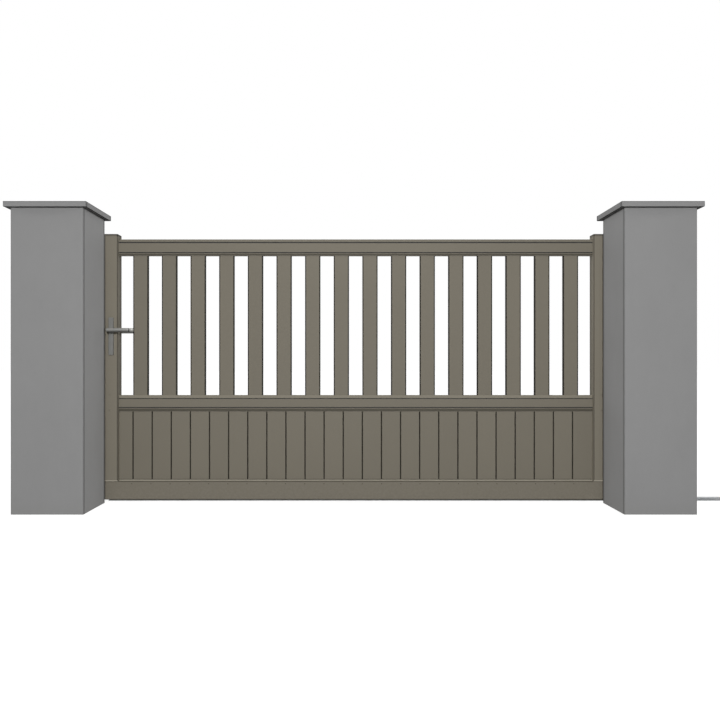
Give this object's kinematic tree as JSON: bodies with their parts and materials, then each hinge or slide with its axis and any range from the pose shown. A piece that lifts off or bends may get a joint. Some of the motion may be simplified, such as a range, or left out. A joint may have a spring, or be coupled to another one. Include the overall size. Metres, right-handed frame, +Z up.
{
  "type": "sliding driveway gate",
  "caption": "Sliding driveway gate between two square piers: upright slats over a boarded lower panel, lever handle, ground track and top guide.",
  "frame": {"origin": "middle of the left pier's base, on the ground", "axes": "+X along the driveway opening towards the right pier and the way that the leaf opens, +Y from the street side to the leaf's side, +Z up"},
  "size_m": [6.408, 0.476, 1.732],
  "materials": {
    "painted_render": "matte",
    "coping": "matte",
    "powder_coat": "satin",
    "coloured_plastic": "satin",
    "satin_metal": "satin",
    "galvanised_steel": "satin",
    "turned_steel": "satin",
    "nylon": "satin",
    "black_rubber": "matte"
  },
  "bodies": {
    "posts": {"left_pier": "painted_render", "right_pier": "painted_render", "left_pier_cap": "coping", "right_pier_cap": "coping", "ground_rail": "galvanised_steel", "open_stop": "galvanised_steel", "stop_buffer": "black_rubber", "guide_bracket": "galvanised_steel", "guide_pin": "galvanised_steel", "guide_roller": "nylon", "catch_channel": "powder_coat", "catch_buffers": "black_rubber"},
    "leaf": {"bottom_rail": "powder_coat", "lock_stile": "powder_coat", "tail_stile": "powder_coat", "top_rail": "powder_coat", "middle_rail": "powder_coat", "lower_panel": "powder_coat", "guide_channel": "powder_coat", "slat_01": "powder_coat", "slat_02": "powder_coat", "slat_03": "powder_coat", "slat_04": "powder_coat", "slat_05": "powder_coat", "slat_06": "powder_coat", "slat_07": "powder_coat", "slat_08": "powder_coat", "slat_09": "powder_coat", "slat_10": "powder_coat", "slat_11": "powder_coat", "slat_12": "powder_coat", "slat_13": "powder_coat", "slat_14": "powder_coat", "slat_15": "powder_coat", "slat_16": "powder_coat", "stile_caps": "coloured_plastic", "end_plugs": "coloured_plastic", "slat_spacers": "coloured_plastic", "front_handle_plate": "satin_metal", "back_handle_plate": "satin_metal", "wheel_carriages": "galvanised_steel", "wheels": "turned_steel", "mortise_lock": "turned_steel"},
    "lever": {"front_lever": "satin_metal", "back_lever": "satin_metal", "spindle": "turned_steel"}
  },
  "joints": [
    {"name": "leaf_slide", "type": "slide", "parent": "posts", "child": "leaf", "axis": [1, 0, 0], "range_m": [0, 2.8]},
    {"name": "lever_turn", "type": "hinge", "parent": "leaf", "child": "lever", "pos_m": [0.223, 0.215, 1.04], "axis": [0, 1, 0], "range_deg": [0, 40], "stiffness_Nm_per_rad": 2, "springref_deg": -20.05}
  ]
}
